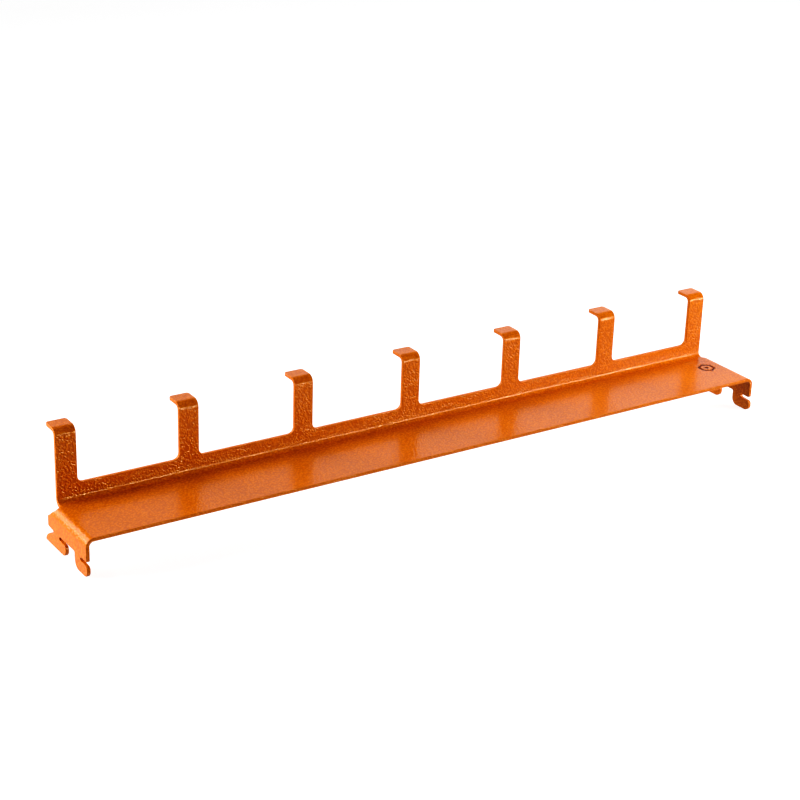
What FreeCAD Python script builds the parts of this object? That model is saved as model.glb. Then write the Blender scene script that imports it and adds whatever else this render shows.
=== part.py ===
"""Folded sheet-steel hook rail: one laser-cut blank with a long web plate, a low
upstand carrying seven bent hooks, and two folded end plates with slotted wall lugs.
The blank is given as named portions that meet face to face and never overlap.
Units are millimetres. +X runs along the rail, -Y is the free edge, +Z is up."""
import FreeCAD, Part
import math
import os

V = FreeCAD.Vector

# ---------------------------------------------------------------- driving sizes
SHEET = 2.0              # sheet thickness
R_IN = 2.5               # inner bend radius of the long fold and the end folds
RAIL_LENGTH = 433.8      # over the two end plates
WEB_DEPTH = 44.0         # free edge of the web to the front face of the upstand
UPSTAND_TOP = 9.0        # top edge of the upstand above the web's upper face
HOOKS = 7
HOOK_PITCH = 68.8
HOOK_WIDTH = 11.4
HOOK_HEIGHT = 40.4       # highest point of a hook above the web's upper face
TIP_REACH = 12.1         # hook tip end behind the front face of the upstand
TIP_BEND = 4.2           # outer radius of the hook tip bend
ROOT_FILLET = 3.5        # fillet where a hook grows from the upstand
TIP_CORNER = 1.6         # corner rounding of a hook tip
LUG_DROP = 21.2          # lowest point of the wall lugs below the web's upper face
SLOT = 2.0               # height of the slots that take the wall panel's sheet
SLOT_TOP = 12.5          # slot upper edge below the web's upper face
LUG_PITCH = 25.4         # between the two slot ends of one end plate
REAR_SLOT_END = -11.5    # closed end of the rear slot, from the upstand's front face
NOSE_REAR = -18.9        # nose of the rear lug
NOSE_FRONT = -44.6       # nose of the front lug, the foremost point
NECK_REAR = -4.2         # back of the rear lug's neck
NECK_FRONT = -29.9       # back of the front lug's neck
EAR = 2.2                # how far the end plate runs behind the upstand's front face
TOE = 5.6                # how far the rear lug's toe runs behind it
# corner relief at the rear of each end fold: (degrees round the bend, rear edge)
RELIEF = [(0, -3.1), (15, -4.3), (30, -4.5), (45, -4.1), (60, -3.3), (75, -2.2), (90, -0.7)]

R_OUT = R_IN + SHEET
X_FOLD = RAIL_LENGTH / 2 - R_OUT          # where the end folds begin
X_UPSTAND = (HOOKS - 1) / 2 * HOOK_PITCH + HOOK_WIDTH / 2
FRONT_SLOT_END = REAR_SLOT_END - LUG_PITCH
SPLIT = SLOT_TOP + SLOT / 2               # lugs are named apart from the end plates here

# origin: middle of the bounding box in X and Y, lowest point in Z
Y0 = -(TIP_REACH + NOSE_FRONT) / 2
Z0 = LUG_DROP


def rounded(points):
    """A closed wire in the YZ plane from (y, z, corner radius) points."""
    n = len(points)
    corners = []
    for i in range(n):
        y, z, r = points[i]
        p = V(0, y, z)
        a = V(0, points[i - 1][0], points[i - 1][1]) - p
        b = V(0, points[(i + 1) % n][0], points[(i + 1) % n][1]) - p
        a.normalize()
        b.normalize()
        if r <= 0:
            corners.append((p, p, None))
            continue
        half = a.getAngle(b) / 2
        cut = r / math.tan(half)
        mid = a + b
        mid.normalize()
        centre = p + mid * (r / math.sin(half))
        corners.append((p + a * cut, p + b * cut, centre - mid * r))
    edges = []
    for i in range(n):
        start, end, mid = corners[i]
        if mid is not None:
            edges.append(Part.Arc(start, mid, end).toShape())
        nxt = corners[(i + 1) % n][0]
        if (nxt - end).Length > 1e-6:
            edges.append(Part.LineSegment(end, nxt).toShape())
    return Part.Wire(edges)


def block(x0, x1, y0, y1, z0, z1):
    return Part.makeBox(x1 - x0, y1 - y0, z1 - z0, V(x0, y0, z0))


def prism(points, direction):
    return Part.Face(Part.makePolygon(points + [points[0]])).extrude(direction)


def place(shape):
    """Moves a shape from the fold datum to the part's own origin."""
    moved = shape.copy()
    moved.translate(V(0, Y0, Z0))
    return moved


# ---------------------------------------------------------------- web plate
web_plate = block(-X_FOLD, X_FOLD, -WEB_DEPTH, -R_IN, -SHEET, 0)


# ---------------------------------------------------------------- long fold and upstand
def fold_and_upstand():
    c = V(0, -R_IN, R_IN)
    q = math.sqrt(0.5)
    outer = Part.Arc(V(0, -R_IN, -SHEET), c + V(0, R_OUT * q, -R_OUT * q), V(0, SHEET, R_IN)).toShape()
    inner = Part.Arc(V(0, 0, R_IN), c + V(0, R_IN * q, -R_IN * q), V(0, -R_IN, 0)).toShape()
    edges = [
        outer,
        Part.LineSegment(V(0, SHEET, R_IN), V(0, SHEET, UPSTAND_TOP)).toShape(),
        Part.LineSegment(V(0, SHEET, UPSTAND_TOP), V(0, 0, UPSTAND_TOP)).toShape(),
        Part.LineSegment(V(0, 0, UPSTAND_TOP), V(0, 0, R_IN)).toShape(),
        inner,
        Part.LineSegment(V(0, -R_IN, 0), V(0, -R_IN, -SHEET)).toShape(),
    ]
    shape = Part.Face(Part.Wire(edges)).extrude(V(2 * X_UPSTAND, 0, 0))
    shape.translate(V(-X_UPSTAND, 0, 0))
    flat = block(-X_UPSTAND - 1, X_UPSTAND + 1, -1, SHEET + 1, R_IN, UPSTAND_TOP + 1)
    return shape.cut(flat), shape.common(flat)


# ---------------------------------------------------------------- hooks
def hook(index):
    """One hook: flat shank with root fillets, then a tip bent backwards."""
    x = (index - (HOOKS - 1) / 2) * HOOK_PITCH
    w = HOOK_WIDTH / 2
    r = TIP_BEND
    ri = r - SHEET
    top = HOOK_HEIGHT
    q = math.sqrt(0.5)
    c = V(0, r, top - r)
    profile = Part.Wire([
        Part.LineSegment(V(0, 0, UPSTAND_TOP), V(0, 0, top - r)).toShape(),
        Part.Arc(V(0, 0, top - r), c + V(0, -r * q, r * q), V(0, r, top)).toShape(),
        Part.LineSegment(V(0, r, top), V(0, TIP_REACH, top)).toShape(),
        Part.LineSegment(V(0, TIP_REACH, top), V(0, TIP_REACH, top - SHEET)).toShape(),
        Part.LineSegment(V(0, TIP_REACH, top - SHEET), V(0, r, top - SHEET)).toShape(),
        Part.Arc(V(0, r, top - SHEET), c + V(0, -ri * q, ri * q), V(0, SHEET, top - r)).toShape(),
        Part.LineSegment(V(0, SHEET, top - r), V(0, SHEET, UPSTAND_TOP)).toShape(),
        Part.LineSegment(V(0, SHEET, UPSTAND_TOP), V(0, 0, UPSTAND_TOP)).toShape(),
    ])
    shape = Part.Face(profile).extrude(V(HOOK_WIDTH, 0, 0))
    shape.translate(V(x - w, 0, 0))
    # rounded tip corners, seen from above
    for side in (-1, 1):
        k = TIP_CORNER
        corner = block(0, k, TIP_REACH - k, TIP_REACH + 1, top - SHEET - 1, top + 1)
        corner.translate(V(x + (w - k if side > 0 else -w), 0, 0))
        rod = Part.makeCylinder(k, SHEET + 2, V(x + side * (w - k), TIP_REACH - k, top - SHEET - 1))
        shape = shape.cut(corner.cut(rod))
    # root fillets: none on the outer side of the end hooks, which are flush
    for side in (-1, 1):
        if (index == 0 and side < 0) or (index == HOOKS - 1 and side > 0):
            continue
        f = ROOT_FILLET
        x0 = x + side * w
        gusset = block(min(x0, x0 + side * f), max(x0, x0 + side * f), 0, SHEET, UPSTAND_TOP, UPSTAND_TOP + f)
        rod = Part.makeCylinder(f, SHEET + 2, V(x0 + side * f, -1, UPSTAND_TOP + f), V(0, 1, 0))
        shape = shape.fuse(gusset.cut(rod))
    return shape.removeSplitter()


# ---------------------------------------------------------------- end plates and lugs
def end_outline():
    """The end plate and its two lugs, below the end fold, as (y, z, radius)."""
    low = -LUG_DROP
    slot_top = -SLOT_TOP
    slot_low = -SLOT_TOP - SLOT
    mouth = slot_low - 0.4
    return [
        (-WEB_DEPTH, -R_OUT, 0),
        (-WEB_DEPTH, slot_top, 0.5),
        (FRONT_SLOT_END, slot_top, SLOT / 2 - 0.01),
        (FRONT_SLOT_END, slot_low, SLOT / 2 - 0.01),
        (NOSE_FRONT, mouth, 2.1),
        (NOSE_FRONT, low, 3.6),
        (NECK_FRONT, low, 4.2),
        (NECK_FRONT, slot_top, 0.95),
        (REAR_SLOT_END, slot_top, SLOT / 2 - 0.01),
        (REAR_SLOT_END, slot_low, SLOT / 2 - 0.01),
        (NOSE_REAR, mouth, 2.1),
        (NOSE_REAR, low, 3.6),
        (TOE, low, 0.6),
        (TOE - 0.3, -20.0, 0.6),
        (TOE - 1.3, -18.3, 1.0),
        (2.7, -16.9, 1.5),
        (0.0, -15.3, 2.0),
        (NECK_REAR, slot_low, 0.8),
        (NECK_REAR, slot_top, 0.8),
        (EAR, -12.0, 0.6),
        (EAR, -6.4, 0.6),
        (RELIEF[-1][1], -R_OUT, 0),
    ]


def left_end():
    """End fold and end plate of the left end, then its two lugs."""
    xl = -RAIL_LENGTH / 2
    blank = Part.Face(rounded(end_outline())).extrude(V(SHEET, 0, 0))
    blank.translate(V(xl, 0, 0))
    # the fold: a quarter ring, its rear edge cut back by the corner relief
    q = math.sqrt(0.5)
    c = V(xl + R_OUT, -WEB_DEPTH, -R_OUT)
    ring = Part.Face(Part.Wire([
        Part.Arc(c + V(0, 0, R_OUT), c + V(-R_OUT * q, 0, R_OUT * q), c + V(-R_OUT, 0, 0)).toShape(),
        Part.LineSegment(c + V(-R_OUT, 0, 0), c + V(-R_IN, 0, 0)).toShape(),
        Part.Arc(c + V(-R_IN, 0, 0), c + V(-R_IN * q, 0, R_IN * q), c + V(0, 0, R_IN)).toShape(),
        Part.LineSegment(c + V(0, 0, R_IN), c + V(0, 0, R_OUT)).toShape(),
    ])).extrude(V(0, WEB_DEPTH + EAR, 0))
    edge = [V(xl + R_OUT - R_OUT * math.sin(math.radians(a)), y, -10) for a, y in RELIEF]
    waste = prism([V(xl + R_OUT, EAR + 5, -10)] + edge
                  + [V(xl - 1, RELIEF[-1][1], -10), V(xl - 1, EAR + 5, -10)], V(0, 0, 20))
    ring = ring.cut(waste)
    cut = block(xl - 1, xl + SHEET + 1, -60, 20, -40, -SPLIT)
    plate = blank.cut(cut).fuse(ring).removeSplitter()
    lugs = blank.common(cut)
    middle = (NECK_REAR + NECK_FRONT) / 2 - 4
    rear = lugs.common(block(xl - 1, xl + SHEET + 1, middle, 20, -40, 0))
    front = lugs.common(block(xl - 1, xl + SHEET + 1, -60, middle, -40, 0))
    return plate, rear, front


def other_end(shape):
    return shape.mirror(V(0, 0, 0), V(1, 0, 0))


end_plate, rear_lug, front_lug = left_end()
long_fold, hook_upstand = fold_and_upstand()

nodes = {
    "web_plate": web_plate,
    "long_fold": long_fold,
    "hook_upstand": hook_upstand,
    "end_plate_left": end_plate,
    "end_plate_right": other_end(end_plate),
    "rear_wall_lug_left": rear_lug,
    "rear_wall_lug_right": other_end(rear_lug),
    "front_wall_lug_left": front_lug,
    "front_wall_lug_right": other_end(front_lug),
}
for i in range(HOOKS):
    nodes["hook_%d" % (i + 1)] = hook(i)

os.makedirs("parts", exist_ok=True)
for name, shape in nodes.items():
    solid = place(shape)
    solids = solid.Solids
    assert len(solids) == 1, (name, len(solids))
    assert solids[0].isValid(), name
    solids[0].exportStep("parts/%s.step" % name)
    box = solids[0].BoundBox
    print("%-22s volume %9.1f  x %8.2f %8.2f  y %7.2f %7.2f  z %6.2f %6.2f" % (
        name, solids[0].Volume, box.XMin, box.XMax, box.YMin, box.YMax, box.ZMin, box.ZMax))
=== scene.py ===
import bpy
import math
import numpy as np
from mathutils import Matrix, Vector
from mathutils.geometry import delaunay_2d_cdt

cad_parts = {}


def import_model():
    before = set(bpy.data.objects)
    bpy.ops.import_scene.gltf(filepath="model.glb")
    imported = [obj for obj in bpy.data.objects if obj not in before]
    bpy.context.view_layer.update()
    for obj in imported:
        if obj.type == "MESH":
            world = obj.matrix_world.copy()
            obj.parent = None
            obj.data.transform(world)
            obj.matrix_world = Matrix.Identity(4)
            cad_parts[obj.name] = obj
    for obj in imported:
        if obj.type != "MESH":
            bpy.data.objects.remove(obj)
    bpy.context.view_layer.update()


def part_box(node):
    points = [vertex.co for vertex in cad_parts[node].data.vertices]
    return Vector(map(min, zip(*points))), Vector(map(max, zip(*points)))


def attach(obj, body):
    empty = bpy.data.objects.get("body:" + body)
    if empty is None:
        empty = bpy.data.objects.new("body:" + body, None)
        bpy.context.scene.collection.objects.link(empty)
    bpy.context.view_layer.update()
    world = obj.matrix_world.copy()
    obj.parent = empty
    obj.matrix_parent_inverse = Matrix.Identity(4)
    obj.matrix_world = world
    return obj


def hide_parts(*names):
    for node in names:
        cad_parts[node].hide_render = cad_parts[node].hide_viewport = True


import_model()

# ------------------------------------------------------------------ sizes, in mm
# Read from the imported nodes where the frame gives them; the rest are the sheet's own.
def mm(node):
    lo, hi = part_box(node)
    return [v * 1000 for v in lo], [v * 1000 for v in hi]


web_lo, web_hi = mm("web_plate")
up_lo, up_hi = mm("hook_upstand")
end_lo, end_hi = mm("end_plate_left")
rear_lo, rear_hi = mm("rear_wall_lug_left")
front_lo, front_hi = mm("front_wall_lug_left")
hook_boxes = [mm("hook_%d" % (i + 1)) for i in range(7)]

SHEET = web_hi[2] - web_lo[2]
HALF = SHEET / 2
X_FOLD = web_hi[0]                      # where the end folds begin
X_UP = up_hi[0]                         # the upstand's ends
X_END = -end_lo[0]                      # outer faces of the end plates
R_OUT = X_END - X_FOLD                  # outer bend radius
R_IN = R_OUT - SHEET
R_MID = R_OUT - HALF
ARC = R_MID * math.pi / 2               # flat length of a bend
Z_WEB = web_hi[2]                       # upper face of the web
Y_FREE = web_lo[1]                      # free edge of the web
Y_FOLD = web_hi[1]                      # where the long fold begins
Y_UP = Y_FOLD + R_IN                    # front face of the upstand
Z_UP = up_hi[2]                         # top edge of the upstand
Z_TOP = hook_boxes[3][1][2]             # top of the hooks
Y_TIP = hook_boxes[3][1][1]             # ends of the tips
R_TIP = 4.2                             # outer radius of a tip bend
RT_MID = R_TIP - HALF
ARC_T = RT_MID * math.pi / 2
HOOK_W = 11.4
ROOT = 3.5
TIP_CORNER = 1.6
hook_x = [(b[0][0] + b[1][0]) / 2 for b in hook_boxes]
hook_x[0] = -X_UP + HOOK_W / 2
hook_x[6] = X_UP - HOOK_W / 2
Z_CUT = rear_hi[2]                      # the lugs' upper limit
SLOT_TOP_Z = Z_CUT + 1.0
SLOT = 2.0
Z_FOLD_END = Z_WEB - R_OUT              # where the end plates are flat again

# flat-pattern coordinates of the landmarks
V_UP0 = Y_FOLD + ARC                    # end of the long fold


def v_up(z):
    """Flat v of a height on the upstand or a hook's shank."""
    return V_UP0 + (z - (Z_WEB + R_IN))


V_BEND = v_up(Z_TOP - R_TIP)
V_BEND1 = V_BEND + ARC_T
V_END = V_BEND1 + (Y_TIP - (Y_UP + R_TIP))
V_ROOT = v_up(Z_UP)


def u_end(z):
    """Flat u of a height on the end plates."""
    return X_FOLD + ARC + (Z_FOLD_END - z)


# ------------------------------------------------------------------ folding
def fold(uv):
    """Middle surface, normal (upper face side) and the two tangents at flat points."""
    uv = np.asarray(uv, float)
    u, v = uv[:, 0], uv[:, 1]
    n = len(uv)
    pos = np.zeros((n, 3))
    nor = np.zeros((n, 3))
    tu = np.zeros((n, 3))
    tv = np.zeros((n, 3))
    # web
    pos[:, 0], pos[:, 1], pos[:, 2] = u, v, Z_WEB - HALF
    nor[:, 2] = 1
    tu[:, 0] = 1
    tv[:, 1] = 1
    ends = (np.abs(u) > X_FOLD) & ((v <= Y_FOLD) | (np.abs(u) > X_FOLD + 1.1))
    s = np.sign(u)
    # end folds
    a = np.clip((np.abs(u) - X_FOLD) / R_MID, 0, math.pi / 2)
    past = np.maximum(np.abs(u) - X_FOLD - ARC, 0)
    m = ends
    pos[m, 0] = (s * (X_FOLD + R_MID * np.sin(a)))[m]
    pos[m, 2] = (Z_WEB - R_OUT + R_MID * np.cos(a) - past)[m]
    nor[m, 0] = (s * np.sin(a))[m]
    nor[m, 2] = np.cos(a)[m]
    tu[m, 0] = np.cos(a)[m]
    tu[m, 2] = (-s * np.sin(a))[m]
    # long fold, upstand and hooks
    b = np.clip((v - Y_FOLD) / R_MID, 0, math.pi / 2)
    m = ~ends & (v > Y_FOLD)
    pos[m, 1] = (Y_FOLD + R_MID * np.sin(b))[m]
    pos[m, 2] = (Z_WEB + R_IN - R_MID * np.cos(b) + np.maximum(v - V_UP0, 0))[m]
    nor[m, 1] = -np.sin(b)[m]
    nor[m, 2] = np.cos(b)[m]
    tv[m, 1] = np.cos(b)[m]
    tv[m, 2] = np.sin(b)[m]
    # tip bends
    c = np.clip((v - V_BEND) / RT_MID, 0, math.pi / 2)
    m = ~ends & (v > V_BEND)
    pos[m, 1] = (Y_UP + R_TIP - RT_MID * np.cos(c) + np.maximum(v - V_BEND1, 0))[m]
    pos[m, 2] = (Z_TOP - R_TIP + RT_MID * np.sin(c))[m]
    nor[m, 1] = -np.cos(c)[m]
    nor[m, 2] = np.sin(c)[m]
    tv[m, 1] = np.sin(c)[m]
    tv[m, 2] = np.cos(c)[m]
    return pos, nor, tu, tv


# ------------------------------------------------------------------ the blank's outline
def end_points():
    """Right-hand end, from the free edge round to the notch: (u, v, corner radius)."""
    low, top = 0.0, SLOT_TOP_Z
    sl = top - SLOT
    mouth = sl - 0.4
    y = lambda t: t + Y_UP
    r = SLOT / 2 - 0.01
    pts = [
        (top, Y_FREE, 0.7),
        (top, y(-36.9), r),
        (sl, y(-36.9), r),
        (mouth, front_lo[1], 2.1),
        (low, front_lo[1], 3.6),
        (low, front_hi[1] + 0.0, 4.2),
        (top, front_hi[1] + 0.0, 0.95),
        (top, y(-11.5), r),
        (sl, y(-11.5), r),
        (mouth, rear_lo[1], 2.1),
        (low, rear_lo[1], 3.6),
        (low, y(5.6), 0.75),
        (Z_WEB - 20.0, y(5.3), 0.8),
        (Z_WEB - 18.3, y(4.3), 1.0),
        (Z_WEB - 16.9, y(2.7), 1.5),
        (Z_WEB - 15.3, y(0.0), 2.0),
        (sl, y(-4.2), 0.8),
        (top, y(-4.2), 0.8),
        (Z_WEB - 12.0, end_hi[1], 0.75),
        (Z_WEB - 6.4, end_hi[1], 0.75),
    ]
    flat = [(u_end(z), v, r) for z, v, r in pts]
    # corner relief, cut back round the rear of the fold
    flat += [(X_FOLD + ARC, y(-0.7), 0.8), (X_FOLD + 2.6, y(-4.6), 1.3), (X_FOLD + 0.9, y(-4.55), 1.0)]
    return flat


def outline():
    right = end_points()
    pts = list(right)
    pts.append((X_UP + 0.15, Y_FOLD - 0.6, 0.5))
    for i in reversed(range(7)):
        xr, xl = hook_x[i] + HOOK_W / 2, hook_x[i] - HOOK_W / 2
        if i < 6:
            pts.append((xr, V_ROOT, ROOT))
        pts.append((xr, V_END, TIP_CORNER))
        pts.append((xl, V_END, TIP_CORNER))
        if i > 0:
            pts.append((xl, V_ROOT, ROOT))
    pts.append((-X_UP - 0.15, Y_FOLD - 0.6, 0.5))
    pts += [(-u, v, r) for u, v, r in reversed(right)]
    return pts


def rounded(points):
    out = []
    n = len(points)
    for i in range(n):
        p = np.array(points[i][:2])
        r = points[i][2]
        a = np.array(points[i - 1][:2]) - p
        b = np.array(points[(i + 1) % n][:2]) - p
        a /= np.linalg.norm(a)
        b /= np.linalg.norm(b)
        if r <= 0:
            out.append(p)
            continue
        half = math.acos(max(-1, min(1, float(a @ b)))) / 2
        turn = math.pi - 2 * half
        mid = (a + b) / np.linalg.norm(a + b)
        c = p + mid * r / math.sin(half)
        s, e = p + a * r / math.tan(half), p + b * r / math.tan(half)
        per = 4 if r < 0.8 else 6 if r < 2.5 else 9
        k = max(2, int(math.ceil(per * turn / (math.pi / 2) - 1e-6)))
        a0 = math.atan2(s[1] - c[1], s[0] - c[0])
        a1 = math.atan2(e[1] - c[1], e[0] - c[0])
        d = (a1 - a0 + math.pi) % (2 * math.pi) - math.pi
        for j in range(k + 1):
            t = a0 + d * j / k
            out.append(c + r * np.array([math.cos(t), math.sin(t)]))
    return np.array(out)


STEPS = 12
end_lines = [X_FOLD + ARC * k / STEPS for k in range(STEPS + 1)]
long_lines = [Y_FOLD + ARC * k / STEPS for k in range(STEPS + 1)]
tip_lines = [V_BEND + ARC_T * k / STEPS for k in range(STEPS + 1)]
U_CUT = u_end(Z_CUT)


def split_loop(loop):
    """Adds points where the outline crosses a bend line or the lugs' limit, and on long runs."""
    out = []
    n = len(loop)
    for i in range(n):
        p, q = loop[i], loop[(i + 1) % n]
        out.append(p)
        ts = []
        d = q - p
        for line in end_lines + [U_CUT]:
            for s in (-1, 1):
                if abs(d[0]) > 1e-6:
                    t = (s * line - p[0]) / d[0]
                    if 0 < t < 1:
                        ts.append(t)
        if min(abs(p[0]), abs(q[0])) < X_UP + 0.3 and abs(d[1]) > 1e-6:
            for line in long_lines + tip_lines:
                t = (line - p[1]) / d[1]
                if 0 < t < 1:
                    ts.append(t)
        length = np.linalg.norm(d)
        pieces = int(length // 4.0)
        for k in range(1, pieces):
            t = k / pieces
            if all(abs(t - x) * length > 0.8 for x in ts):
                ts.append(t)
        for t in sorted(ts):
            if t * length > 0.02 and (1 - t) * length > 0.02:
                if np.linalg.norm(out[-1] - (p + d * t)) > 0.02:
                    out.append(p + d * t)
    return np.array(out)


LOOP = split_loop(rounded(outline()))
keep = [i for i in range(len(LOOP)) if np.linalg.norm(LOOP[i] - LOOP[i - 1]) > 0.015]
LOOP = LOOP[keep]
N = len(LOOP)
prev_d = LOOP - np.roll(LOOP, 1, 0)
next_d = np.roll(LOOP, -1, 0) - LOOP
prev_d /= np.linalg.norm(prev_d, axis=1)[:, None]
next_d /= np.linalg.norm(next_d, axis=1)[:, None]
n_prev = np.c_[prev_d[:, 1], -prev_d[:, 0]]
n_next = np.c_[next_d[:, 1], -next_d[:, 0]]
OUT = n_prev + n_next
OUT /= np.linalg.norm(OUT, axis=1)[:, None]
MITRE = 1 / np.clip((OUT * n_next).sum(1), 0.35, 1)

EDGE_R = 0.30                           # how softly the coating rounds the cut edges
ARC_STEPS = 4
profile = []                            # (inset, height over the middle surface, outward share, upward share)
for k in range(ARC_STEPS + 1):
    t = math.pi / 2 * k / ARC_STEPS
    profile.append((EDGE_R * (1 - math.sin(t)), HALF - EDGE_R * (1 - math.cos(t)), math.sin(t), math.cos(t)))
profile.append((0.0, 0.0, 1.0, 0.0))
profile += [(i, -h, o, -w) for i, h, o, w in reversed(profile[:-1])]
K = len(profile) - 1


def inset(amount):
    return LOOP - OUT * (MITRE * amount)[:, None]


INNER = inset(EDGE_R)


def inside(points, loop):
    x, y = points[:, 0], points[:, 1]
    hit = np.zeros(len(points), bool)
    x0, y0 = loop[:, 0], loop[:, 1]
    x1, y1 = np.roll(x0, -1), np.roll(y0, -1)
    for i in range(len(loop)):
        if y0[i] == y1[i]:
            continue
        m = (y0[i] > y) != (y1[i] > y)
        hit ^= m & (x < (x1[i] - x0[i]) * (y - y0[i]) / (y1[i] - y0[i]) + x0[i])
    return hit


def distance(points, loop):
    best = np.full(len(points), 1e9)
    for i in range(len(loop)):
        a, b = loop[i], loop[(i + 1) % len(loop)]
        d = b - a
        t = np.clip(((points - a) @ d) / (d @ d), 0, 1)
        best = np.minimum(best, np.linalg.norm(points - a - t[:, None] * d, axis=1))
    return best


# ------------------------------------------------------------------ mark: a plain stamped nut outline with a dot
MARK_U, MARK_V, MARK_R = X_FOLD - 9.6, Y_UP - 18.0, 4.9
MARK_DEPTH = 0.22


def mark_depth(u, v):
    """Depth of a plain stamped hexagon ring with a round dot in it."""
    x, y = u - MARK_U, v - MARK_V
    hexa = np.maximum.reduce([np.abs(x * math.cos(t) + y * math.sin(t)) for t in (0, math.pi / 3, 2 * math.pi / 3)])
    ring = np.abs(hexa - (MARK_R - 0.8)) - 0.8
    dot = np.hypot(x, y) - 1.3
    d = np.minimum(ring, dot)
    return MARK_DEPTH * np.clip(0.5 - d / 0.3, 0, 1)


# ------------------------------------------------------------------ triangulation of the flat blank
def steiner():
    rows = []
    # web
    us = np.linspace(-X_FOLD, X_FOLD, 107)
    vs = np.linspace(Y_FREE, Y_FOLD, 12)
    rows += [(u, v) for u in us for v in vs]
    # end plates and lugs
    for s in (-1, 1):
        for line in end_lines:
            rows += [(s * line, v) for v in np.arange(Y_FREE + 2.5, end_hi[1], 2.6)]
        for u in np.arange(X_FOLD + ARC + 1.6, u_end(0), 1.6):
            rows += [(s * u, v) for v in np.arange(front_lo[1] + 1, rear_hi[1], 1.9)]
        rows += [(s * U_CUT, v) for v in np.arange(Y_FREE, rear_hi[1], 1.7)]
    # long fold and upstand
    for line in long_lines:
        rows += [(u, line) for u in us if abs(u) < X_UP - 0.5]
    for v in np.linspace(V_UP0, V_ROOT, 4)[1:-1]:
        rows += [(u, v) for u in us if abs(u) < X_UP]
    # hooks
    for x in hook_x:
        cols = np.linspace(x - HOOK_W / 2, x + HOOK_W / 2, 6)[1:-1]
        cols0 = np.linspace(x - HOOK_W / 2 - ROOT, x + HOOK_W / 2 + ROOT, 9)[1:-1]
        rows += [(u, V_ROOT) for u in cols0]
        for v in np.linspace(V_ROOT + 2.7, V_BEND, 10)[:-1]:
            rows += [(u, v) for u in cols]
        for line in tip_lines:
            rows += [(u, line) for u in cols]
        for v in np.linspace(V_BEND1, V_END, 4)[1:-1]:
            rows += [(u, v) for u in cols]
    pts = np.array(rows)
    # a fine patch for the mark
    g = 0.24
    near = (np.abs(pts[:, 0] - MARK_U) < 6.2) & (pts[:, 1] > MARK_V - 10.2) & (pts[:, 1] < MARK_V + 6.3)
    pts = pts[~near]
    patch = [(u, v) for u in np.arange(MARK_U - 5.8, MARK_U + 5.8, g) for v in np.arange(MARK_V - 9.7, MARK_V + 5.8, g)]
    pts = np.vstack([pts, np.array(patch)])
    ok = inside(pts, INNER)
    pts = pts[ok]
    d = distance(pts, INNER)
    pts = pts[d > 0.35]
    # drop near duplicates
    key = np.round(pts / 0.05).astype(int)
    _, first = np.unique(key, axis=0, return_index=True)
    return pts[np.sort(first)]


inner_points = steiner()
flat = np.vstack([INNER, inner_points])
edges = [(i, (i + 1) % N) for i in range(N)]


def chain(mask, order):
    """Constraint edges through the flat points on a line, so no triangle crosses it."""
    ids = np.nonzero(mask)[0]
    ids = ids[np.argsort(flat[ids][:, order])]
    a, b = ids[:-1], ids[1:]
    gap = np.abs(flat[a][:, order] - flat[b][:, order])
    apart = ~((a < N) & (b < N) & np.isin(np.abs(a - b), (1, N - 1)))
    ok = (gap < 6) & apart & inside((flat[a] + flat[b]) / 2, INNER)
    return [(int(i), int(j)) for i, j in zip(a[ok], b[ok])]


tol = 0.03
for s in (-1, 1):
    for line in end_lines + [U_CUT]:
        edges += chain(np.abs(flat[:, 0] - s * line) < tol, 1)
for line in long_lines:
    edges += chain((np.abs(flat[:, 1] - line) < tol) & (np.abs(flat[:, 0]) < X_UP + 0.3), 0)
for x in hook_x:
    near = np.abs(flat[:, 0] - x) < HOOK_W / 2 + ROOT + 0.1
    for line in tip_lines + [V_ROOT]:
        edges += chain((np.abs(flat[:, 1] - line) < tol) & near, 0)

result = delaunay_2d_cdt([Vector(p) for p in flat], edges, [], 0, 1e-5)
verts2, _, faces2, orig = result[0], result[1], result[2], result[3]
P = np.array([flat[o[0]] if o else (v[0], v[1]) for v, o in zip(verts2, orig)])
loop_id = np.full(N, -1)
for new, o in enumerate(orig):
    for k in o:
        if k < N:
            loop_id[k] = new
tris = np.array(faces2)
cent = P[tris].mean(1)
tris = tris[inside(cent, INNER)]
area = np.cross(P[tris[:, 1]] - P[tris[:, 0]], P[tris[:, 2]] - P[tris[:, 0]])
tris[area < 0] = tris[area < 0][:, ::-1]
tris = tris[np.abs(area) > 1e-7]
cent = P[tris].mean(1)
print("flat triangles", len(tris), "points", len(P), "outline", N, "unmatched", int((loop_id < 0).sum()))

# ------------------------------------------------------------------ names of the sheet's portions
NAMES = ["web_plate", "hook_upstand"] + ["hook_%d" % (i + 1) for i in range(7)] + [
    "end_plate_left", "end_plate_right", "rear_wall_lug_left", "rear_wall_lug_right",
    "front_wall_lug_left", "front_wall_lug_right"]


def label(c):
    u, v = c[:, 0], c[:, 1]
    out = np.zeros(len(c), int)
    up = (v > Y_FOLD) & (np.abs(u) < X_FOLD + 1.1)
    out[up] = 1
    hook = up & (v > V_ROOT)
    which = np.argmin(np.abs(u[:, None] - np.array(hook_x)[None]), axis=1)
    out[hook] = 2 + which[hook]
    end = (np.abs(u) > X_FOLD) & ~up
    out[end] = np.where(u[end] < 0, 9, 10)
    lug = np.abs(u) > U_CUT
    rear = v > (front_hi[1] + rear_lo[1]) / 2
    out[lug & rear] = np.where(u[lug & rear] < 0, 11, 12)
    out[lug & ~rear] = np.where(u[lug & ~rear] < 0, 13, 14)
    return out


lab = label(cent)

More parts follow.
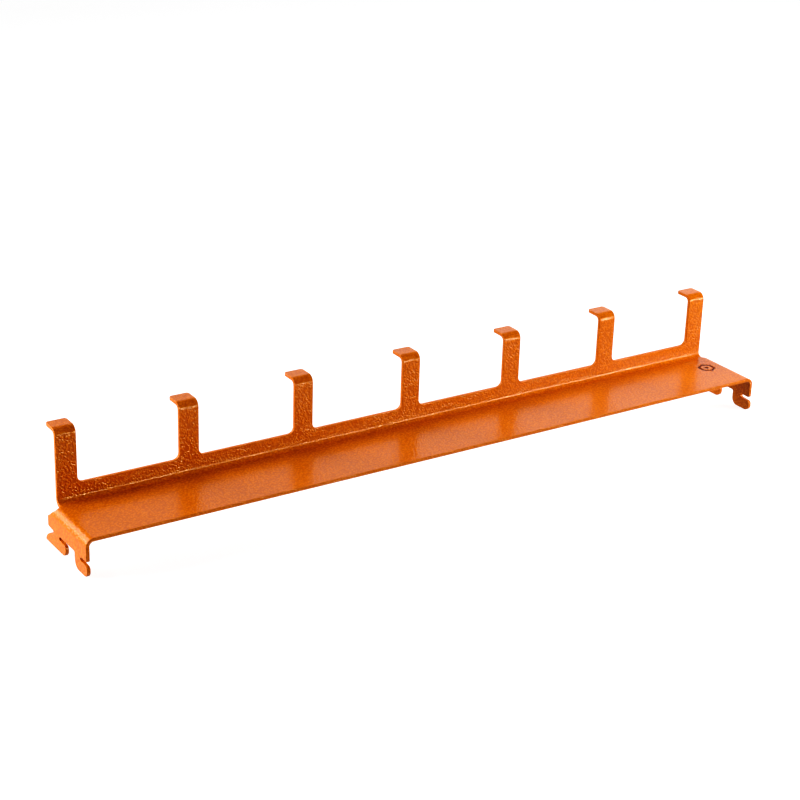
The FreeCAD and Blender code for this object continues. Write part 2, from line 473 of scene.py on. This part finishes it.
# ------------------------------------------------------------------ the folded sheet's points
M, NRM, TU, TV = fold(P)
depth = mark_depth(P[:, 0], P[:, 1])
e = 0.02
gu = (mark_depth(P[:, 0] + e, P[:, 1]) - mark_depth(P[:, 0] - e, P[:, 1])) / (2 * e)
gv = (mark_depth(P[:, 0], P[:, 1] + e) - mark_depth(P[:, 0], P[:, 1] - e)) / (2 * e)
top = M + NRM * (HALF - depth)[:, None]
top_n = NRM + TU * gu[:, None] + TV * gv[:, None]
top_n /= np.linalg.norm(top_n, axis=1)[:, None]
bottom = M - NRM * HALF
nP = len(P)
co = [top, bottom]
no = [top_n, -NRM]
flatuv = [P, P]
rim = [np.zeros(nP), np.zeros(nP)]
face_side = [np.ones(nP), -np.ones(nP)]
mark = [np.clip(depth / MARK_DEPTH, 0, 1), np.zeros(nP)]
ring = np.zeros((K + 1, N), int)
ring[0] = loop_id
ring[K] = loop_id + nP
base = 2 * nP
for k in range(1, K):
    ins, h, o, w = profile[k]
    q = inset(ins)
    m, nn, tu, tv = fold(q)
    pos = m + nn * h
    outward = tu * OUT[:, :1] + tv * OUT[:, 1:]
    vec = outward * o + nn * w
    vec /= np.linalg.norm(vec, axis=1)[:, None]
    co.append(pos)
    no.append(vec)
    flatuv.append(q)
    rim.append(np.full(N, 1.0))
    face_side.append(np.full(N, h / HALF))
    mark.append(np.zeros(N))
    ring[k] = base + np.arange(N)
    base += N
co = np.vstack(co) / 1000
no = np.vstack(no)
flatuv = np.vstack(flatuv)
rim = np.concatenate(rim)
rim[ring[0]] = 0.6
rim[ring[K]] = 0.6
mark = np.concatenate(mark)

# which label each outline segment has: that of the triangle behind it
edge_label = {}
for t, l in zip(tris, lab):
    for a, b in ((t[0], t[1]), (t[1], t[2]), (t[2], t[0])):
        edge_label.setdefault((min(a, b), max(a, b)), []).append((l, a, b))
seg = np.zeros(N, int)
for i in range(N):
    a, b = loop_id[i], loop_id[(i + 1) % N]
    got = edge_label.get((min(a, b), max(a, b)))
    seg[i] = got[0][0] if got else -1
if (seg < 0).any():
    print("outline segments with no triangle behind them", int((seg < 0).sum()))

pieces = {n: [] for n in range(len(NAMES))}     # polygon, is_cap
for t, l in zip(tris, lab):
    pieces[l].append((tuple(t), False))
    pieces[l].append((tuple(int(x) + nP for x in t[::-1]), False))
for i in range(N):
    j = (i + 1) % N
    for k in range(K):
        pieces[seg[i]].append(((ring[k][j], ring[k][i], ring[k + 1][i], ring[k + 1][j]), False))
for key, users in edge_label.items():
    if len(users) == 2 and users[0][0] != users[1][0]:
        for l, a, b in users:
            pieces[l].append(((b, a, a + nP, b + nP), True))
for j in range(N):
    before, after = seg[j - 1], seg[j]
    if before != after:
        poly = [ring[k][j] for k in range(K + 1)]
        pieces[before].append((tuple(poly), True))
        pieces[after].append((tuple(poly[::-1]), True))

objects = {}
for l, name in enumerate(NAMES):
    polys = pieces[l]
    used = sorted({int(v) for p, _ in polys for v in p})
    back = {v: i for i, v in enumerate(used)}
    me = bpy.data.meshes.new(name + "_sheet")
    me.from_pydata([tuple(co[v]) for v in used], [], [tuple(back[int(v)] for v in p) for p, _ in polys])
    me.polygons.foreach_set("use_smooth", [True] * len(polys))
    attr = me.attributes.new("rim", "FLOAT", "POINT")
    attr.data.foreach_set("value", rim[used].astype(np.float32))
    attr = me.attributes.new("mark", "FLOAT", "POINT")
    attr.data.foreach_set("value", mark[used].astype(np.float32))
    me.update()
    normals = []
    for (p, cap), poly in zip(polys, me.polygons):
        for v in p:
            normals.append(tuple(poly.normal) if cap else tuple(no[int(v)]))
    me.normals_split_custom_set(normals)
    me.validate()
    ob = bpy.data.objects.new(name + "_sheet", me)
    bpy.context.scene.collection.objects.link(ob)
    objects[name] = ob

# ------------------------------------------------------------------ material
def powder_coat():
    mat = bpy.data.materials.new("orange_hammertone")
    mat.use_nodes = True
    nt = mat.node_tree
    nt.nodes.clear()

    def node(kind, **values):
        nd = nt.nodes.new("ShaderNode" + kind)
        for key, val in values.items():
            setattr(nd, key, val)
        return nd

    def link(a, b):
        nt.links.new(a, b)

    def math_(op, a, b=None, c=None):
        nd = node("Math", operation=op)
        for i, x in enumerate((a, b, c)):
            if x is None:
                continue
            if isinstance(x, (int, float)):
                nd.inputs[i].default_value = x
            else:
                link(x, nd.inputs[i])
        return nd.outputs[0]

    def blend(fac, a, b, kind="MIX"):
        nd = node("MixRGB", blend_type=kind)
        for i, x in enumerate((fac, a, b)):
            if isinstance(x, (int, float)):
                nd.inputs[i].default_value = x
            elif isinstance(x, tuple):
                nd.inputs[i].default_value = x + (1,)
            else:
                link(x, nd.inputs[i])
        return nd.outputs[0]

    out = node("OutputMaterial")
    bsdf = node("BsdfPrincipled")
    link(bsdf.outputs[0], out.inputs[0])
    coord = node("TexCoord").outputs["Object"]

    # a slow wobble keeps the wrinkles from lining up
    wob = node("TexNoise")
    wob.inputs["Scale"].default_value = 400
    wob.inputs["Detail"].default_value = 1.0
    link(coord, wob.inputs["Vector"])
    off = node("VectorMath", operation="MULTIPLY_ADD")
    link(wob.outputs["Color"], off.inputs[0])
    off.inputs[1].default_value = (0.0010, 0.0010, 0.0010)
    link(coord, off.inputs[2])
    # wrinkles are longer along one diagonal of the rail than across it
    turn = node("Mapping", vector_type="TEXTURE")
    turn.inputs["Rotation"].default_value = (0.0, 0.615, 0.785)
    turn.inputs["Scale"].default_value = (STRETCH, 1.0, 1.0)
    link(off.outputs[0], turn.inputs["Vector"])
    skin = turn.outputs[0]

    cells = node("TexVoronoi", feature="SMOOTH_F1")
    cells.inputs["Scale"].default_value = 860
    cells.inputs["Smoothness"].default_value = 0.35
    link(skin, cells.inputs["Vector"])
    grain = node("TexNoise")
    grain.inputs["Scale"].default_value = 1000
    grain.inputs["Detail"].default_value = 1.6
    grain.inputs["Roughness"].default_value = 0.45
    link(skin, grain.inputs["Vector"])
    hills = math_("MULTIPLY_ADD", cells.outputs["Distance"], -1.0, 1.0)
    height = math_("MULTIPLY_ADD", grain.outputs["Fac"], 0.9, hills)
    # flat-topped wrinkles: the coat levels out on the crests
    level = node("MapRange", interpolation_type="SMOOTHSTEP")
    level.inputs["From Min"].default_value = 0.72
    level.inputs["From Max"].default_value = 1.26
    level.inputs["To Max"].default_value = 0.54
    link(height, level.inputs["Value"])
    bump = node("Bump")
    # the coat pulled into deeper wrinkles on the upright faces than on the web and the folds
    facing = node("SeparateXYZ")
    link(node("TexCoord").outputs["Normal"], facing.inputs[0])
    upright = node("MapRange", interpolation_type="SMOOTHSTEP")
    upright.inputs["From Min"].default_value = 0.955
    upright.inputs["From Max"].default_value = 0.998
    upright.inputs["To Min"].default_value = 0.55
    upright.inputs["To Max"].default_value = 1.0
    link(math_("ABSOLUTE", facing.outputs["Y"]), upright.inputs["Value"])
    link(upright.outputs[0], bump.inputs["Strength"])
    bump.inputs["Distance"].default_value = BUMP
    link(level.outputs[0], bump.inputs["Height"])
    link(bump.outputs[0], bsdf.inputs["Normal"])

    # pigment: darker in the wrinkle valleys than on the crests, partly the coat's own tone and partly painted shade
    # standing in for the wrinkles' shading; slow clouds of tone over the whole rail
    ramp = node("ValToRGB")
    ramp.color_ramp.elements[0].position = 0.75
    ramp.color_ramp.elements[0].color = VALLEY_TONE_AND_SHADE + (1,)
    ramp.color_ramp.elements[1].position = 1.35 / 1.9
    ramp.color_ramp.elements[1].color = CREST + (1,)
    ramp.color_ramp.elements[0].position = 0.38
    link(math_("MULTIPLY", height, 1 / 1.9), ramp.inputs[0])
    cloud = node("TexNoise")
    cloud.inputs["Scale"].default_value = 45
    cloud.inputs["Detail"].default_value = 3
    link(coord, cloud.inputs["Vector"])
    colour = blend(0.10, ramp.outputs[0], cloud.outputs["Fac"], "MULTIPLY")
    rim = node("Attribute", attribute_name="rim").outputs["Fac"]
    mark_ = node("Attribute", attribute_name="mark").outputs["Fac"]
    colour = blend(math_("MULTIPLY", rim, 0.45), colour, RIM)
    colour = blend(mark_, colour, (0.12, 0.014, 0.002))
    link(colour, bsdf.inputs["Base Color"])

    # gloss: crests are a little smoother than the valleys, the stamped mark is dull
    gloss = node("MapRange")
    gloss.inputs["From Min"].default_value = 0.8
    gloss.inputs["From Max"].default_value = 1.5
    gloss.inputs["To Min"].default_value = ROUGH_LOW
    gloss.inputs["To Max"].default_value = ROUGH_HIGH
    link(height, gloss.inputs["Value"])
    link(math_("MULTIPLY_ADD", mark_, 0.45, gloss.outputs[0]), bsdf.inputs["Roughness"])
    bsdf.inputs["IOR"].default_value = 1.42
    bsdf.inputs["Specular Tint"].default_value = (1.0, 0.55, 0.25, 1)
    return mat


STRETCH = 1.6
BUMP = 0.00024
# valley colour: partly the coat's own tone, partly painted shade in the wrinkle valleys
VALLEY_TONE_AND_SHADE = (0.60, 0.111, 0.0015)
CREST = (0.82, 0.182, 0.0025)
RIM = (0.66, 0.135, 0.002)
ROUGH_LOW, ROUGH_HIGH = 0.13, 0.09
coat = powder_coat()
for name, ob in objects.items():
    ob.data.materials.append(coat)
    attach(ob, "root")
    # the upstand's sheet carries on round the long fold
    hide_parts(*((name, "long_fold") if name == "hook_upstand" else (name,)))

# ------------------------------------------------------------------ stage
def floor():
    me = bpy.data.meshes.new("floor")
    s = 4.0
    n = 24
    pts = [(-s + 2 * s * i / n, -s + 2 * s * j / n, 0) for j in range(n + 1) for i in range(n + 1)]
    quads = [(j * (n + 1) + i, j * (n + 1) + i + 1, (j + 1) * (n + 1) + i + 1, (j + 1) * (n + 1) + i)
             for j in range(n) for i in range(n)]
    me.from_pydata(pts, [], quads)
    ob = bpy.data.objects.new("floor", me)
    ob.location.z = -0.0002
    bpy.context.scene.collection.objects.link(ob)
    mat = bpy.data.materials.new("floor_paper")
    mat.use_nodes = True
    b = mat.node_tree.nodes["Principled BSDF"]
    b.inputs["Base Color"].default_value = (0.40, 0.40, 0.40, 1)
    b.inputs["Roughness"].default_value = 0.9
    b.inputs["Specular IOR Level"].default_value = 0.0
    b.inputs["Emission Color"].default_value = (1, 1, 1, 1)
    b.inputs["Emission Strength"].default_value = 0.85
    me.materials.append(mat)
    ob.visible_diffuse = False
    ob.visible_glossy = False
    return ob


floor()


def area_light(name, where, target, size, power, colour=(1, 1, 1), size_y=None):
    li = bpy.data.lights.new(name, "AREA")
    li.energy = power
    li.color = colour
    li.shape = "RECTANGLE"
    li.size = size
    li.size_y = size_y or size
    ob = bpy.data.objects.new(name, li)
    ob.location = where
    d = Vector(target) - Vector(where)
    ob.rotation_euler = d.to_track_quat("-Z", "Y").to_euler()
    ob.visible_camera = False
    bpy.context.scene.collection.objects.link(ob)
    return ob


area_light("graze", (1.12, -0.33, 0.29), (0.0, 0.0, 0.03), 0.12, 10.8)
area_light("key", (0.60, -0.42, 0.15), (0.20, 0.0, 0.04), 0.42, 2.1, size_y=0.12)
area_light("left", (-0.52, 0.16, 0.09), (-0.217, 0.0, 0.01), 0.20, 2.4)
back = area_light("back", (0.05, 0.62, 0.62), (0.0, 0.0, 0.0), 1.1, 5.3, size_y=0.5)
back.visible_glossy = False
# fills the right half of the long fold
fill = area_light("fill", (0.38, -0.22, 0.34), (0.18, 0.0, 0.02), 0.14, 0.55)
fill.visible_glossy = False
# a low strip in front draws the bright line along the fold and the tips
strip = area_light("strip", (0.80, -0.95, 0.105), (0.80, 0.0, 0.105), 1.3, 20.0, size_y=0.07)
strip.visible_diffuse = False


def world():
    w = bpy.data.worlds.new("studio")
    bpy.context.scene.world = w
    w.use_nodes = True
    nt = w.node_tree
    nt.nodes.clear()
    out = nt.nodes.new("ShaderNodeOutputWorld")
    mix = nt.nodes.new("ShaderNodeMixShader")
    seen = nt.nodes.new("ShaderNodeBackground")
    seen.inputs[0].default_value = (1, 1, 1, 1)
    seen.inputs[1].default_value = 1.0
    lit = nt.nodes.new("ShaderNodeBackground")
    lit.inputs[1].default_value = 1.0
    path = nt.nodes.new("ShaderNodeLightPath")
    nt.links.new(path.outputs["Is Camera Ray"], mix.inputs[0])
    nt.links.new(lit.outputs[0], mix.inputs[1])
    nt.links.new(seen.outputs[0], mix.inputs[2])
    nt.links.new(mix.outputs[0], out.inputs[0])
    tc = nt.nodes.new("ShaderNodeTexCoord")
    sep = nt.nodes.new("ShaderNodeSeparateXYZ")
    nt.links.new(tc.outputs["Generated"], sep.inputs[0])
    # white paper behind the object, a dim room above and in front of it
    def ramp(socket, lo, hi):
        nd = nt.nodes.new("ShaderNodeMapRange")
        nd.interpolation_type = "SMOOTHSTEP"
        nd.inputs["From Min"].default_value = lo
        nd.inputs["From Max"].default_value = hi
        nt.links.new(socket, nd.inputs["Value"])
        return nd.outputs[0]

    def times(a, b):
        nd = nt.nodes.new("ShaderNodeMath")
        nd.operation = "MULTIPLY"
        for i, x in enumerate((a, b)):
            if isinstance(x, float):
                nd.inputs[i].default_value = x
            else:
                nt.links.new(x, nd.inputs[i])
        return nd.outputs[0]

    def plus(a, b):
        nd = nt.nodes.new("ShaderNodeMath")
        nd.operation = "ADD"
        for i, x in enumerate((a, b)):
            if isinstance(x, float):
                nd.inputs[i].default_value = x
            else:
                nt.links.new(x, nd.inputs[i])
        return nd.outputs[0]

    paper = times(ramp(sep.outputs["Y"], 0.05, 0.40), ramp(sep.outputs["Z"], 0.72, 0.55))
    # a softbox behind the left end
    spot = nt.nodes.new("ShaderNodeVectorMath")
    spot.operation = "DOT_PRODUCT"
    nt.links.new(tc.outputs["Generated"], spot.inputs[0])
    spot.inputs[1].default_value = Vector((-0.42, 0.83, 0.36)).normalized()
    box = ramp(spot.outputs["Value"], 0.93, 0.975)
    # the paper is lit more from the right
    side = nt.nodes.new("ShaderNodeMapRange")
    side.inputs["From Min"].default_value = 0.30
    side.inputs["From Max"].default_value = 0.66
    side.inputs["To Min"].default_value = 0.54
    side.inputs["To Max"].default_value = 1.08
    nt.links.new(sep.outputs["X"], side.inputs["Value"])
    table = times(ramp(sep.outputs["Z"], 0.05, -0.10),
                  plus(times(times(ramp(sep.outputs["Y"], 0.10, -0.20), ramp(sep.outputs["X"], -0.40, 0.05)), 0.85), 0.05))
    level = plus(plus(times(paper, side.outputs[0]), times(box, 4.0)), plus(table, 0.03))
    grey = nt.nodes.new("ShaderNodeCombineColor")
    for k in range(3):
        nt.links.new(level, grey.inputs[k])
    nt.links.new(grey.outputs[0], lit.inputs[0])
    return w


world()

# ------------------------------------------------------------------ camera
cam_data = bpy.data.cameras.new("camera")
cam_data.sensor_fit = "HORIZONTAL"
cam_data.sensor_width = 36.0
CAM_F = 1959.327
cam_data.lens = CAM_F / 800 * 36.0
cam_data.clip_start = 0.05
cam_data.clip_end = 20
cam = bpy.data.objects.new("camera", cam_data)
bpy.context.scene.collection.objects.link(cam)
CAM_POS = (-816.7592175, -1212.43011079, 634.76414556)
CAM_ROT = ((0.839181188, -0.54301614, 0.030139755), (-0.187613088, -0.34106524, -0.921127478), (0.51046671, 0.76733824, -0.388092468))
UNIT = 0.6877e-3
right_, down_, fwd_ = (Vector(r) for r in CAM_ROT)
rot = Matrix((right_, -down_, -fwd_)).transposed().to_4x4()
cam.matrix_world = Matrix.Translation(Vector(CAM_POS) * UNIT + Vector((0, Y_UP / 1000, Z_WEB / 1000))) @ rot
bpy.context.scene.camera = cam
view = bpy.context.scene.view_settings
view.view_transform = "Standard"
view.use_curve_mapping = True
tone = view.curve_mapping
for x, y in ((0.02, 0.006), (0.05, 0.027), (0.10, 0.076), (0.20, 0.190), (0.45, 0.48), (0.75, 0.80)):
    tone.curves[3].points.new(x, y)
tone.update()
